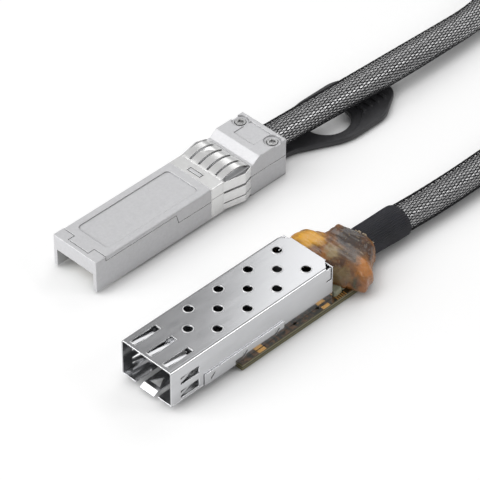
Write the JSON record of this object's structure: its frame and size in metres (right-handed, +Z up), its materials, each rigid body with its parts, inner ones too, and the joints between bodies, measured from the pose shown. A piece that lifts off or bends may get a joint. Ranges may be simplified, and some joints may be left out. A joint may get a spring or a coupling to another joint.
{
  "type": "direct attach copper cable",
  "caption": "Direct attach copper cable: a small latching metal plug with pull tab at one end, a braided cable loop, and a caged board socket at the other",
  "frame": {"origin": "on the plane of the plug's nose, at the middle of its width, on the surface that the cable lies on", "axes": "+X from the plug's nose towards the cable, +Y away from the socket end, +Z up"},
  "size_m": [0.238, 0.0859, 0.0112],
  "materials": {
    "cast_metal": "satin nickel-plated die casting",
    "clip_metal": "bright rolled spring steel",
    "screw_metal": "plain steel",
    "cage_metal": "matt tin-plated sheet",
    "card_green": "solder mask over glass laminate",
    "board_green": "olive solder mask over glass laminate",
    "contact_gold": "thin gold plating",
    "part_grey": "fired ceramic",
    "pair_shield": "metallised wrap",
    "black_plastic": "moulded black plastic",
    "tab_rubber": "satin moulded rubber",
    "band_black": "finely ribbed sleeve",
    "glue": "hardened amber glue with darker clouds",
    "cable_braid": "black braided sleeve over a pale inner jacket"
  },
  "bodies": {
    "main": {"base_shell": "cast_metal", "top_cover": "cast_metal", "grounding_clip_upper": "clip_metal", "grounding_clip_lower": "clip_metal", "head_screws": "screw_metal", "paddle_card": "card_green", "card_contacts": "contact_gold", "memory_chip": "black_plastic", "plug_twinax_pairs": "pair_shield", "plug_cable_core": "black_plastic", "cable_ferrule": "screw_metal", "latch_pin": "screw_metal", "latch_spring": "clip_metal", "cage_shell": "cage_metal", "cage_floor": "cage_metal", "host_connector": "black_plastic", "host_terminals": "contact_gold", "socket_board": "board_green", "board_pads": "contact_gold", "board_components": "part_grey", "socket_twinax_pairs": "pair_shield", "glue_blob": "glue", "socket_cable_core": "black_plastic", "shrink_band": "band_black", "cable": "cable_braid"},
    "release": {"release_strap": "clip_metal", "pull_tab": "tab_rubber"},
    "latch": {"latch_rocker": "cast_metal"}
  },
  "joints": [
    {"name": "release_pull", "type": "slide", "parent": "main", "child": "release", "axis": [1, 0, 0], "range_m": [0, 0.002], "stiffness_N_per_m": 400},
    {"name": "latch_rock", "type": "hinge", "parent": "main", "child": "latch", "pos_m": [0.0335, 0, 0.002], "axis": [0, -1, 0], "range_deg": [0, 3.6], "deforming": ["latch_spring"]}
  ],
  "couplings": [
    {"joint": "latch_rock", "follows": "release_pull", "rad_per_m": 31.4}
  ]
}
